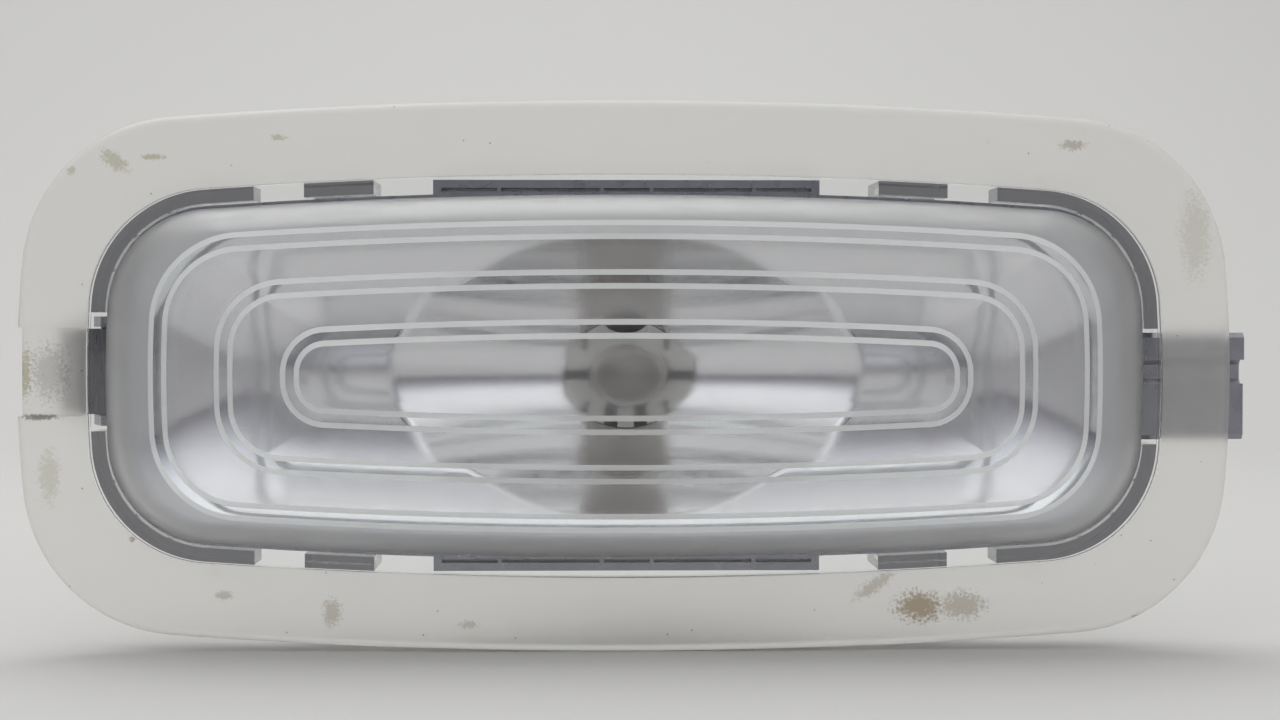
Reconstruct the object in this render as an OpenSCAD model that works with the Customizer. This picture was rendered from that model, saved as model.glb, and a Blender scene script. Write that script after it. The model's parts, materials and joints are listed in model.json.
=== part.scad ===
// Car dome light: a snap-in interior lamp for a roof lining.
// Every piece is drawn in lamp coordinates: X runs along the lamp, Y is up in the picture,
// Z comes out of the lens, and Z = 0 is the plane where the flange meets the roof lining.
// The stand module then turns the lamp so that the lens faces -Y and the top edge faces +Z.

/* [Flange] */
// Length of the flange
flange_w = 150; // [146:0.5:170]
// Height of the flange at its middle
flange_h = 68.2; // [64:0.2:80]
// Thickness of the flange
flange_t = 2.2; // [1.9:0.1:3]
// Corner radius of the flange
flange_r = 19.7; // [15:0.1:25]
// Rounding of the flange's front edge
flange_edge = 1.1; // [0.5:0.1:1.3]
// Radius of the long sides' bow
long_bow_r = 730; // [500:10:1200]
// Radius of the short sides' bow
short_bow_r = 148; // [120:2:200]

/* [Pry notch] */
// Height of the notch at the left edge
notch_h = 10.9; // [8:0.1:13]
// How far the notch steps the edge in
notch_step = 0.75; // [0.4:0.05:1.2]
// Length of the pocket behind the notch
notch_len = 7.6; // [5:0.1:7.8]
// Depth of the pocket in the flange's back
notch_depth = 1.1; // [0.6:0.1:1.2]
// Height of the notch's and the clip's middle above the lamp's middle
clip_y = 0.5; // [-2:0.1:2]

/* [Clear band] */
// Length over the clear band round the dome
band_w = 132.6; // [128:0.1:136]
// Height over the clear band at its middle
band_h = 49.7; // [47:0.1:52]
// Corner radius of the clear band
band_r = 14.9; // [13:0.1:18]
// Width of the clear band at the ends
band_end = 2.2; // [1.8:0.1:3]
// Width of the clear band along the long sides
band_side = 2.45; // [2:0.05:3]
// Depth of the clear band below the flange's front
band_drop = 0.8; // [0.3:0.1:1]

/* [Dome] */
// Length of the outermost step
ring_w = 116; // [112:0.2:120]
// Height of the outermost step
ring_h = 37.6; // [36:0.2:40]
// Corner radius of the outermost step
ring_r = 11; // [9.5:0.1:13]
// How far each step lies inside the last, at the ends
ring_pitch_x = 8.17; // [6:0.01:9]
// How far each step lies inside the last, on the long sides
ring_pitch_y = 6.05; // [5:0.01:6.4]
// How much the corner radius shrinks with each step
ring_pitch_r = 2.9; // [2:0.1:3.2]
// Rise of the dome's side wall
dome_rise = 3.6; // [2.8:0.1:6]
// Width of each chamfer line
line_w = 0.7; // [0.4:0.05:0.9]
// Rise of each chamfer line
line_rise = 0.45; // [0.3:0.05:0.8]
// Width of the clear strip between two lines
strip_w = 1; // [0.6:0.05:1.3]
// Rise of the frosted terrace between two steps
terrace_rise = 0.3; // [0.1:0.05:0.6]
// Wall thickness of the dome
dome_t = 1.8; // [1.4:0.1:2.2]

/* [Lens skirt] */
// Thickness of the skirt behind the clear band
skirt_t = 1.7; // [1.3:0.1:1.9]
// Depth of the skirt behind the flange
skirt_depth = 7; // [5:0.1:8.5]
// Depth of the shoulder that the reflector's rim meets
shoulder_z = 0.4; // [0.2:0.05:0.8]
// Distance of each snap hook from the lamp's middle
hook_x = 35.6; // [34:0.1:38]
// Width of a snap hook
hook_w = 8.6; // [6:0.1:9]
// Width of the slot on the outer side of a snap hook
hook_slot = 6.2; // [4:0.1:6.4]
// How far a snap hook's barb stands in
hook_barb = 1; // [0.7:0.05:1.4]
// Half length of the gap in the skirt over the reflector's flank
flank_half = 24.4; // [20:0.1:24.6]
// Length of the small marks beside the band
mark_w = 2.2; // [1.5:0.1:3]
// Distance of the marks from the lamp's middle
mark_x = 50.2; // [48:0.1:52]

/* [Reflector housing] */
// Gap between the skirt and the reflector's rim wall
rim_gap = 0.3; // [0.2:0.05:0.4]
// Wall thickness of the reflector housing
wall = 1.5; // [1.2:0.1:1.8]
// Depth of the rim wall behind the lining plane
rim_depth = 9; // [8.6:0.1:12]
// Depth of the shallow wings behind the rim's edge
tray_depth = 6; // [5:0.1:6.6]
// How far the wings' floor lies inside the rim at the ends
tray_in_x = 9; // [6:0.1:12]
// How far the wings' floor lies inside the rim on the long sides
tray_in_y = 5.5; // [4:0.1:7]
// Radius of the bowl where it meets the wings' floor
bowl_r = 26.5; // [24:0.1:27]
// Focal length of the bowl
bowl_f = 13; // [12:0.1:14]

/* [Fixed tongue] */
// How far the tongue stands past the flange's right edge
tongue_over = 2.7; // [1.5:0.1:4]
// Height of the tongue's upper lug
tongue_up = 3.4; // [2.5:0.1:4]
// Height of the recess between the lugs
tongue_gap = 3; // [2:0.1:4]
// Height of the tongue's lower lug
tongue_low = 7; // [5:0.1:8]
// Distance of the recess's middle from the lamp's middle
tongue_y = 0.4; // [-1:0.1:1]
// Thickness of the tongue
tongue_t = 2.2; // [1.8:0.1:3]
// Gap between the tongue and the flange, for the roof panel
panel_gap = 2.1; // [2:0.1:2.3]

/* [Spring clip] */
// Width of the spring clip
clip_w = 10.6; // [8:0.1:12]
// Thickness of the spring steel
clip_t = 0.5; // [0.3:0.05:0.6]
// Depth of the clip's peg behind the lining plane
clip_z = 12.5; // [11.5:0.1:15]
// Radius of the clip's peg
peg_r = 1; // [0.8:0.05:1.1]
// Length of the clip's finger tab
tab_len = 3.6; // [2.5:0.1:3.8]

/* [Bulb holder] */
// Radius of the bore in the collar
bore_r = 9.6; // [9.3:0.05:9.9]
// Radial clearance of the holder in its bore
bore_fit = 0.08; // [0.03:0.01:0.1]
// Depth of the holder's front face
holder_z = 17.4; // [16.6:0.1:18]
// Half width over the flats of the holder's front
holder_half = 7.8; // [7.2:0.1:8.4]
// Length of the collar behind the bowl
collar_len = 7; // [6:0.1:9]
// Wall of the collar outside the bayonet groove
collar_wall = 1.6; // [1.2:0.1:2]
// Radial height of the bayonet lugs
lug_h = 1.6; // [1:0.1:1.9]
// Width of the bayonet lugs
lug_w = 4.6; // [3.5:0.1:6]
// Twist that frees the holder, in degrees
twist = 40; // [30:1:50]
// Depth of the plug shroud behind the holder's disc
shroud_len = 9.5; // [8:0.1:12]

/* [Contacts] */
// Width of a contact's blade
blade_w = 4.8; // [4:0.1:5.2]
// Thickness of the contact strip
blade_t = 0.6; // [0.4:0.05:0.7]
// Distance of a blade from the lamp's middle
blade_x = 4.4; // [4:0.1:4.6]
// Length of the blades behind the holder's disc
blade_len = 8; // [6:0.1:8]

/* [Bulb] */
// Diameter of the bulb's glass
bulb_d = 10; // [9.4:0.1:10.2]
// Overall length of the bulb
bulb_len = 26.8; // [24:0.1:27.5]
// Wall thickness of the glass
glass_t = 0.7; // [0.5:0.05:0.9]
// Thickness of the wedge base
wedge_t = 2.6; // [2.2:0.1:2.8]
// Width of the wedge base
wedge_w = 9.4; // [8.8:0.1:9.6]
// Diameter of the lead wires
lead_d = 0.5; // [0.4:0.05:0.5]
// Length of the filament's coil
coil_len = 3.4; // [2.5:0.1:4]
// Radius of the filament's coil
coil_r = 0.45; // [0.4:0.02:0.6]

/* [Hidden] */

// Steps of the outline's arcs on a short side, a corner and a long side of one quarter
STEPS = [2, 9, 5];
ROUND = 48;
over = 1;

// Heights in front of the lining plane
band_z = flange_t - band_drop;
ring_z = band_z + dome_rise;
ring_step = 2 * line_rise + terrace_rise;
ring_count = 3;
dome_top = ring_z + ring_count * ring_step - terrace_rise;

// Depths behind the lining plane
seat_gap = 0.1;
rim_z = shoulder_z + seat_gap;
floor_z = rim_z + tray_depth;
bowl_z = floor_z + bowl_r * bowl_r / (4 * bowl_f);
throat_z = bowl_z - bore_r * bore_r / (4 * bowl_f);
collar_z = throat_z + collar_len;
lug_t = 1.7;
lug_gap = 0.2;
groove_z = throat_z + 1.5;
groove_d = lug_t + 2 * lug_gap;
groove_r = bore_r + lug_h + lug_gap;
collar_r = groove_r + collar_wall;
disc_gap = 0.15;
disc_t = 2;
disc_z = collar_z + disc_gap;
back_z = disc_z + disc_t;

// Shapes are [length, height, long bow radius, short bow radius, corner radius]
function inset(s, d) = [for (v = [s[0] - 2 * d, s[1] - 2 * d, s[2] - d, s[3] - d, s[4] - d]) v];
function mix(a, b, t) = a + (b - a) * t;

FLANGE = [flange_w, flange_h, long_bow_r, short_bow_r, flange_r];
BAND_OUT = [band_w, band_h, long_bow_r, short_bow_r, band_r];
BAND_IN = [band_w - 2 * band_end, band_h - 2 * band_side, long_bow_r, short_bow_r, band_r - band_end];
function ring(i) = [ring_w - 2 * ring_pitch_x * i, ring_h - 2 * ring_pitch_y * i,
    long_bow_r, short_bow_r * (1 - 0.3 * i), ring_r - ring_pitch_r * i];
SKIRT_IN = inset(BAND_OUT, skirt_t);
RIM = inset(SKIRT_IN, rim_gap);
RIM_IN = inset(RIM, wall);
TRAY = [RIM_IN[0] - 2 * tray_in_x, RIM_IN[1] - 2 * tray_in_y, long_bow_r, short_bow_r, RIM_IN[4] - 3];

// Centre of the corner arc, which touches both side arcs from inside
function corner(s) = let (
    a = [0, s[1] / 2 - s[2]], da = s[2] - s[4],
    b = [s[0] / 2 - s[3], 0], db = s[3] - s[4],
    d = norm(b - a), u = (b - a) / d,
    m = (da * da - db * db + d * d) / (2 * d),
    k = sqrt(max(0, da * da - m * m)))
    a + m * u + k * [u[1], -u[0]];

// Points of the first quarter, from the short side's middle towards the long side's middle
function quarter(s) = let (
    c = corner(s),
    a = [0, s[1] / 2 - s[2]],
    b = [s[0] / 2 - s[3], 0],
    t_short = atan2(c[1] - b[1], c[0] - b[0]),
    t_long = atan2(c[1] - a[1], c[0] - a[0]))
    [for (part = [[b, s[3], 0, t_short, STEPS[0]], [c, s[4], t_short, t_long, STEPS[1]],
        [a, s[2], t_long, 90, STEPS[2]]])
        for (i = [0 : part[4] - 1])
            let (t = mix(part[2], part[3], i / part[4]))
                part[0] + part[1] * [cos(t), sin(t)]];

// The whole outline, anticlockwise
function outline(s) = let (q = quarter(s), n = len(q)) concat(
    q, [[0, s[1] / 2]],
    [for (i = [n - 1 : -1 : 1]) [-q[i][0], q[i][1]]],
    [for (i = [0 : n - 1]) [-q[i][0], -q[i][1]]], [[0, -s[1] / 2]],
    [for (i = [n - 1 : -1 : 1]) [q[i][0], -q[i][1]]]);

// Height of a shape's long side at a distance x from the middle
function side_y(s, x) = s[1] / 2 - s[2] + sqrt(s[2] * s[2] - x * x);

// Turns the lamp upright, lens towards -Y
module stand() {
    rotate([90, 0, 0]) children();
}

// A straight prism over a shape, between two heights
module slab(s, z0, z1) {
    translate([0, 0, z0]) linear_extrude(z1 - z0) polygon(outline(s));
}

// A closed solid through outlines at rising heights, each given as [shape, height]
module loft(rings) {
    n = len(outline(rings[0][0]));
    top = (len(rings) - 1) * n;
    points = [for (r = rings) for (p = outline(r[0])) [p[0], p[1], r[1]]];
    sides = [for (k = [0 : len(rings) - 2]) for (i = [0 : n - 1])
        let (a = k * n + i, b = k * n + (i + 1) % n)
            each [[a, a + n, b + n], [a, b + n, b]]];
    faces = concat([[for (i = [0 : n - 1]) i]], [[for (i = [n - 1 : -1 : 0]) top + i]], sides);
    polyhedron(points, faces);
}

// A box by its lowest and highest corners
module box(low, high) {
    translate(low) cube(high - low);
}

// A profile drawn as [y, z] points and drawn out along X from x0 to x1
module bar_x(points, x0, x1) {
    translate([x0, 0, 0]) rotate([90, 0, 90]) linear_extrude(x1 - x0) polygon(points);
}

// A profile drawn as [x, z] points and drawn out along Y, centred on y
module bar_y(points, y, width) {
    translate([0, y + width / 2, 0]) rotate([90, 0, 0]) linear_extrude(width) polygon(points);
}

// Both sides of a bent strip of thickness t along a path
function strip(path, t) = let (
    n = len(path),
    dir = [for (i = [0 : n - 2]) (path[i + 1] - path[i]) / norm(path[i + 1] - path[i])],
    side = [for (i = [0 : n - 1]) let (
        u = dir[max(0, i - 1)], v = dir[min(n - 2, i)],
        m = u + v, w = [-m[1], m[0]] / norm(m))
        w / (w * [-v[1], v[0]])])
    concat([for (i = [0 : n - 1]) path[i] + side[i] * t / 2],
        [for (i = [n - 1 : -1 : 0]) path[i] - side[i] * t / 2]);

// A rectangle with rounded corners
module round_rect(x0, y0, x1, y1, r) {
    polygon([for (c = [[x1 - r, y1 - r, 0], [x0 + r, y1 - r, 90], [x0 + r, y0 + r, 180],
        [x1 - r, y0 + r, 270]]) for (t = [0 : 22.5 : 90])
        [c[0] + r * cos(c[2] + t), c[1] + r * sin(c[2] + t)]]);
}

// Lens, one clear moulding: flange, clear band, stepped dome, skirt and snap hooks

module flange_plate() {
    straight = flange_t - flange_edge;
    difference() {
        union() {
            slab(FLANGE, 0, straight);
            loft([for (t = [0 : 30 : 90])
                [inset(FLANGE, flange_edge * (1 - cos(t))), straight + flange_edge * sin(t)]]);
        }
        slab(BAND_OUT, band_z, flange_t + over);
    }
}

// The dome's outer steps, from the clear band's floor to the flat top
function dome_rings(grow, drop) = concat(
    [for (t = [0 : 22.5 : 90])
        [inset(mix(BAND_IN, inset(ring(0), -line_w / 2), 1 - cos(t)), grow),
            band_z - drop + dome_rise * sin(t)]],
    [for (i = [0 : ring_count - 1])
        let (s = inset(ring(i), grow), z = ring_z - drop + i * ring_step)
            each concat(i == 0 ? [] : [[inset(s, -line_w / 2), z]],
                [[inset(s, line_w / 2), z + line_rise],
                [inset(s, line_w / 2 + strip_w), z + line_rise + 0.02],
                [inset(s, 1.5 * line_w + strip_w), z + 2 * line_rise]])]);

// The dome's hollow, with one chamfer behind each step
dome_in = 1.3;
function hollow_rings() = concat(
    [[inset(BAND_IN, dome_in), -shoulder_z - over]],
    [for (t = [0 : 30 : 60])
        [inset(mix(BAND_IN, inset(ring(0), -line_w / 2), 1 - cos(t)), dome_in),
            mix(-shoulder_z, ring_z - dome_t, sin(t))]],
    [for (i = [0 : ring_count - 1])
        let (s = inset(ring(i), dome_in), z = ring_z - dome_t + i * ring_step)
            each [[inset(s, -line_w / 2), z],
                [inset(s, 1.5 * line_w + strip_w / 2), z + 2 * line_rise]]]);

// The skirt ring of one depth
module skirt_ring(depth) {
    difference() {
        slab(BAND_OUT, -depth, band_z / 2);
        slab(SKIRT_IN, -depth - over, -shoulder_z);
    }
}

hook_grip = rim_depth + 0.15;
hook_depth = hook_grip + 2.6;

// One snap hook on the upper right; the leg is part of the skirt's wall
module snap_hook() {
    y = side_y(SKIRT_IN, hook_x);
    intersection() {
        skirt_ring(hook_depth);
        box([hook_x - hook_w / 2, 0, -hook_depth - over], [hook_x + hook_w / 2, band_h, over / 2]);
    }
    bar_x([[y + 0.5, -hook_grip], [y - hook_barb, -hook_grip], [y - hook_barb, -hook_grip - 0.5],
        [y, -hook_depth], [y + 0.5, -hook_depth]], hook_x - hook_w / 2 + 0.4, hook_x + hook_w / 2 - 0.4);
}

// Small ribs inside the skirt's corners that centre the reflector's rim
module corner_ribs() {
    c = corner(SKIRT_IN);
    r = SKIRT_IN[4];
    for (t = [22, 44, 66])
        translate([c[0], c[1], -skirt_depth]) rotate([0, 0, t])
            translate([r - rim_gap * 0.6, -0.2, 0]) cube([rim_gap * 0.6 + 0.4, 0.4, skirt_depth - shoulder_z]);
}

clip_clear = 0.5;
cheek_t = 1.3;
cheek_gap = 0.25;
clip_half = clip_w / 2 + cheek_gap;
tongue_top = tongue_y + tongue_gap / 2 + tongue_up;
tongue_bottom = tongue_y - tongue_gap / 2 - tongue_low;

module lens_skirt() {
    difference() {
        skirt_ring(skirt_depth);
        for (side = [-1, 1]) {
            // Gap over the reflector's flank
            box([-flank_half, side > 0 ? 0 : -band_h, -skirt_depth - over],
                [flank_half, side > 0 ? band_h : 0, -shoulder_z]);
            // Slots and leg of each hook, out from the gap over the flank
            for (x = [-1, 1]) mirror([x < 0 ? 1 : 0, 0, 0])
                box([flank_half - over, side > 0 ? band_h / 4 : -band_h, -skirt_depth - over],
                    [hook_x + hook_w / 2 + hook_slot, side > 0 ? band_h : -band_h / 4, -shoulder_z]);
        }
        // Windows for the clip on the left and the tongue on the right
        box([-band_w, clip_y - clip_half - cheek_t - clip_clear, -skirt_depth - over],
            [-band_w / 4, clip_y + clip_half + cheek_t + clip_clear, -shoulder_z]);
        box([band_w / 4, tongue_bottom - clip_clear, -skirt_depth - over],
            [band_w, tongue_top + clip_clear, -shoulder_z]);
    }
    for (a = [0, 1], b = [0, 1])
        mirror([a, 0, 0]) mirror([0, b, 0]) {
            snap_hook();
            corner_ribs();
        }
}

module lens_body() {
    mark_y = side_y(BAND_OUT, mark_x);
    mark_gap = 0.9;
    notch_x = flange_w / 2 - notch_step;
    difference() {
        union() {
            flange_plate();
            loft(concat([[BAND_IN, band_z / 2]], dome_rings(0, 0)));
            slab(BAND_OUT, -shoulder_z, band_z / 2);
            lens_skirt();
        }
        loft(hollow_rings());
        // Notch in the left edge, and the pocket behind it for a screwdriver's blade
        box([-flange_w, clip_y - notch_h / 2, -over], [-notch_x, clip_y + notch_h / 2, flange_t + over]);
        translate([0, 0, -over]) linear_extrude(over + notch_depth)
            round_rect(-notch_x - 2, clip_y - notch_h / 2, -notch_x + notch_len, clip_y + notch_h / 2, 0.6);
        // Shallow marks in the flange's back beside the band
        for (x = [-mark_x, mark_x], side = [-1, 1])
            translate([x, side * (mark_y + mark_gap), 0])
                box([-mark_w / 2, -0.7, -over], [mark_w / 2, 0.7, 0.5]);
    }
}

module lens() {
    color([0.87, 0.88, 0.86, 0.6]) stand() lens_body();
}

// Reflector housing, one metallised moulding

// Radius of the bowl at a depth, and the bowl as a solid grown by a thickness
function bowl_radius(z) = sqrt(4 * bowl_f * max(0, bowl_z - z));
module bowl_solid(grow, z_top) {
    z_low = throat_z + grow;
    rotate_extrude($fn = 72)
        polygon(concat([[0, -z_low], [bowl_radius(throat_z) + grow * 0.6, -z_low]],
            [for (k = [1 : 11]) let (z = mix(throat_z, z_top, k / 11))
                [bowl_radius(z) + grow, -z]],
            [[0, -z_top]]));
}

// The wings' concave form, from the floor up to the rim's edge
module tray_solid(rim, floor, depth, top) {
    loft(concat(
        [for (t = [90 : -18 : 0]) [mix(rim, floor, 1 - cos(t)), -rim_z - depth * sin(t)]],
        [[rim, top]]));
}

flank_wall = 1;
flank_in = 0.15;
flank_y = side_y(BAND_OUT, flank_half) - flank_in;
flank_ribs = [3.1, 15.8];

// The bowl's flank in the gap of the skirt: an outer wall, a groove and small ribs
module flank() {
    y_in = RIM[1] / 2 - 0.5;
    half = flank_half - 0.4;
    difference() {
        box([-half, y_in, -rim_depth - 3], [half, flank_y, -rim_z - 0.5]);
        box([-half + 1, side_y(RIM, 0), -rim_z - 3], [half - 1, flank_y - flank_wall, over]);
    }
    for (x = flank_ribs, s = [-1, 1])
        box([s * x - 0.25, y_in, -rim_z - 3.2], [s * x + 0.25, flank_y - flank_wall / 2, -rim_z - 0.3]);
}

// Stepped tongue that hooks over the roof panel on the right
module tongue() {
    x_end = flange_w / 2 + tongue_over;
    z = -panel_gap;
    low = z - tongue_t;
    y0 = tongue_bottom;
    y1 = tongue_y - tongue_gap / 2;
    y2 = tongue_y + tongue_gap / 2;
    y3 = tongue_top;
    c = 0.6;
    // The stepped face: slopes at the lugs' edges and round the recess
    bar_x([[y0, low], [y0, z - c], [y0 + c, z], [y1, z], [y1 + c, z - c], [y2 - c, z - c], [y2, z],
        [y3 - c, z], [y3, z - c], [y3, low]], RIM[0] / 2 - 1, x_end - 0.5);
    // The lugs reach further out than the recess
    bar_x([[y0, low + 0.4], [y0, z - c], [y0 + c, z], [y1, z], [y1, low + 0.4]], x_end - 0.6, x_end - 0.15);
    bar_x([[y2, low + 0.4], [y2, z], [y3 - c, z], [y3, z - c], [y3, low + 0.4]], x_end - 0.6, x_end);
    // Gussets back to the rim wall
    for (y = [y0 + 1.2, y1 - 0.6, y3 - 1.2])
        bar_y([[RIM[0] / 2 - 1, low + 0.1], [RIM[0] / 2 - 1, -rim_depth], [RIM[0] / 2 + 0.8, -rim_depth],
            [x_end - 6, low + 0.1]], y, 1.2);
}

peg_x = -(RIM[0] / 2 + peg_r + clip_t + 0.5);

// Cheeks and peg that carry the spring clip on the left
module clip_mount() {
    half = clip_half;
    x_in = -RIM[0] / 2 + wall;
    z_low = clip_z + peg_r + clip_t + 1;
    for (s = [-1, 1])
        translate([0, clip_y + s * (half + cheek_t / 2), 0])
            bar_y([[x_in, -4.2], [peg_x + 0.6, -4.2], [peg_x - peg_r - 0.3, -clip_z + 3],
                [peg_x - peg_r - 0.3, -clip_z - 0.6], [peg_x + 0.6, -z_low], [x_in, -z_low]], 0, cheek_t);
    translate([peg_x, clip_y, -clip_z]) rotate([90, 0, 0])
        cylinder(r = peg_r, h = 2 * half + 1, center = true, $fn = ROUND);
    // Wall behind the clip, down from the rim wall
    box([-RIM[0] / 2 + 0.3, clip_y - half - cheek_t, -z_low], [x_in, clip_y + half + cheek_t, -rim_depth + 1]);
}

// Sector of the bayonet groove: from the locked lug to the entry slot
module groove_sector(r, a0, a1, z0, z1) {
    intersection() {
        translate([0, 0, z0]) cylinder(r = r, h = z1 - z0, $fn = 72);
        translate([0, 0, z0]) linear_extrude(z1 - z0)
            polygon(concat([[0, 0]], [for (t = [0 : 4]) 2 * r * [cos(mix(a0, a1, t / 4)), sin(mix(a0, a1, t / 4))]]));
    }
}

lug_mid_r = bore_r + lug_h / 2;
lug_angle = asin(lug_w / 2 / lug_mid_r);
lug_play = 1;

module collar_cuts() {
    translate([0, 0, -collar_z - over]) cylinder(r = bore_r, h = collar_len + over + 3, $fn = 72);
    for (a = [0, 180]) rotate([0, 0, a]) {
        groove_sector(groove_r, -lug_angle - lug_play, twist + lug_angle + lug_play,
            -groove_z - groove_d, -groove_z);
        groove_sector(groove_r, twist - lug_angle - lug_play, twist + lug_angle + lug_play,
            -collar_z - over, -groove_z - groove_d / 2);
    }
}

module reflector_body() {
    half = clip_half + 0.3;
    difference() {
        union() {
            difference() {
                slab(RIM, -rim_depth, -rim_z);
                slab(RIM_IN, -rim_depth - over, -rim_z + over);
            }
            tray_solid(inset(RIM, wall / 2), inset(TRAY, -wall), tray_depth + wall, -rim_z - 0.01);
            intersection() {
                bowl_solid(wall, rim_z + 0.5);
                slab(RIM, -collar_z, -rim_z);
            }
            translate([0, 0, -collar_z]) cylinder(r = collar_r, h = collar_len + 1, $fn = 72);
            flank();
            mirror([0, 1, 0]) flank();
            tongue();
            clip_mount();
        }
        tray_solid(RIM_IN, TRAY, tray_depth, over);
        intersection() {
            bowl_solid(0, -over);
            slab(RIM_IN, -collar_z, over + 1);
        }
        collar_cuts();
        // Window in the end wall where the clip's tab moves in
        box([-RIM[0] / 2 - 3, clip_y - half, -4.4], [-RIM[0] / 2 + wall + 2, clip_y + half, over]);
    }
}

module reflector_housing() {
    color([0.72, 0.73, 0.76]) stand() reflector_body();
}

// Spring clip: a leaf of spring steel curled round its peg

clip_fit = 0.06;
leaf_rise = 1;
leg_rise = 1.9;
knee_out = 4.7;
knee_z = 7.2;
knee_bend = 0.4;
tab_z = 2.5;
tab_inset = 0.35;
tab_lip = 0.6;
tab_bend = 0.1;

module clip_body() {
    r_in = peg_r + clip_fit;
    r_mid = r_in + clip_t / 2;
    r_out = r_in + clip_t;
    c = [peg_x, -clip_z];
    tab_end = -RIM[0] / 2 - tab_inset;
    tip = tab_end - tab_len;
    leaf = [c + [-r_mid, 0], c + [-r_mid, leaf_rise],
        [peg_x - knee_out + tab_bend, -knee_z - knee_bend], [peg_x - knee_out, -knee_z + knee_bend],
        [tip - tab_lip / 2, -tab_z - tab_lip - tab_bend], [tip, -tab_z - tab_bend],
        [tip + tab_lip, -tab_z], [tab_end, -tab_z]];
    leg = [c + [r_mid, 0], c + [r_mid, leg_rise]];
    bar_y(strip(leaf, clip_t), clip_y, clip_w);
    bar_y(strip(leg, clip_t), clip_y, clip_w);
    // The curl, open at the top between the leaf and the short leg
    translate([peg_x, clip_y, -clip_z]) rotate([90, 0, 0])
        difference() {
            cylinder(r = r_out, h = clip_w, center = true, $fn = ROUND);
            cylinder(r = r_in, h = clip_w + 2 * over, center = true, $fn = ROUND);
            translate([-2 * r_out, 0, -clip_w]) cube([4 * r_out, 2 * r_out, 2 * clip_w]);
        }
}

module spring_clip() {
    color([0.45, 0.46, 0.48]) stand() clip_body();
}

// Bulb holder, one white moulding with a twist lock

well_r = 5.4;
well_z = back_z - 1.1;
shroud_w = 2 * blade_x + 6;
shroud_h = blade_w + 4.2;
shroud_t = 1.3;
guide_r = bore_r - bore_fit;

module holder_body() {
    difference() {
        union() {
            // Front, with two flats
            intersection() {
                translate([0, 0, -throat_z - 1]) cylinder(r = bore_r - 0.3, h = throat_z + 1 - holder_z, $fn = 72);
                box([-holder_half, -bore_r, -throat_z - over - 1], [holder_half, bore_r, 0]);
            }
            translate([0, 0, -disc_z - 0.2]) cylinder(r = guide_r, h = disc_z + 0.2 - throat_z - 0.4, $fn = 72);
            for (a = [0, 180]) rotate([0, 0, a])
                intersection() {
                    translate([0, 0, -groove_z - lug_gap - lug_t])
                        cylinder(r = bore_r + lug_h, h = lug_t, $fn = 72);
                    box([guide_r - 2, -lug_w / 2, -groove_z - lug_gap - lug_t],
                        [groove_r, lug_w / 2, -groove_z - lug_gap]);
                }
            // Disc behind the collar, and the shroud round the blades
            translate([0, 0, -back_z]) cylinder(r = collar_r + 0.6, h = disc_t, $fn = 72);
            translate([0, 0, -back_z - shroud_len]) linear_extrude(shroud_len + 0.5)
                round_rect(-shroud_w / 2, -shroud_h / 2, shroud_w / 2, shroud_h / 2, 1.2);
            // Finger grips above and below the shroud
            for (s = [-1, 1])
                box([-1.5, s > 0 ? 0 : -collar_r, -back_z - 5.5], [1.5, s > 0 ? collar_r : 0, -back_z + 0.5]);
        }
        // Well for the bulb, with windows where the contacts flex
        translate([0, 0, -well_z]) cylinder(r = well_r, h = well_z, $fn = ROUND);
        box([-bore_r, -0.95, -throat_z - 2], [bore_r, 0.95, 0]);
        for (s = [-1, 1]) {
            // Slits beside the upper and lower pillars
            for (u = [-1, 1])
                translate([s * 5.25, u * 7.2, 0]) box([-0.35, -2.4, -throat_z - 0.6], [0.35, 2.4, 0]);
            // Slot for each blade
            box([s * blade_x - blade_t / 2 - 0.1, -blade_w / 2 - 0.1, -back_z - 1],
                [s * blade_x + blade_t / 2 + 0.1, blade_w / 2 + 0.1, -well_z + 1]);
        }
        // Upper notch with a round floor, lower notch with a rib in it
        translate([0, 10.9, -throat_z - 0.6]) cylinder(r = 3.9, h = 9, $fn = ROUND);
        box([-2.2, 7.6, -throat_z - 0.6], [2.2, bore_r, 0]);
        difference() {
            box([-2.75, -bore_r, -throat_z - 0.8], [2.75, -5, 0]);
            box([-1.05, -bore_r, -throat_z - 2], [1.05, -6.9, -throat_z]);
        }
        // Inside of the shroud
        translate([0, 0, -back_z - shroud_len - over]) linear_extrude(shroud_len + over)
            round_rect(-shroud_w / 2 + shroud_t, -shroud_h / 2 + shroud_t,
                shroud_w / 2 - shroud_t, shroud_h / 2 - shroud_t, 0.6);
    }
}

module bulb_holder() {
    color([0.93, 0.93, 0.91]) stand() holder_body();
}

// Contacts: tinned strips that press on the wedge base and end in blades

wedge_gap = 0.8;
wedge_z = well_z - wedge_gap;
contact_play = 0.05;
spring_x = wedge_t / 2 + lead_d + blade_t / 2 + contact_play;
spring_flare = 1.6;
spring_top = 6;
spring_bend = 3.6;
spring_foot = 2.6;
spring_root = 0.6;
spring_trim = 1.2;

// The contact on the +X side; the other is its mirror image
module contact_body() {
    z = -wedge_z;
    path = [[spring_x + spring_flare, z + spring_top], [spring_x, z + spring_bend],
        [spring_x + 2 * contact_play, z + spring_foot], [blade_x, z + spring_root], [blade_x, z - spring_root]];
    bar_y(strip(path, blade_t), 0, blade_w - spring_trim);
    tip = -back_z - blade_len;
    c = blade_w / 5;
    translate([blade_x - blade_t / 2, 0, 0])
        rotate([90, 0, 90]) linear_extrude(blade_t)
            polygon([[-blade_w / 2, z - 0.5], [-blade_w / 2, tip + c], [-blade_w / 2 + c, tip],
                [blade_w / 2 - c, tip], [blade_w / 2, tip + c], [blade_w / 2, z - 0.5]]);
}

module contact_left() {
    color([0.78, 0.72, 0.55]) stand() mirror([1, 0, 0]) contact_body();
}

module contact_right() {
    color([0.78, 0.72, 0.55]) stand() contact_body();
}

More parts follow.
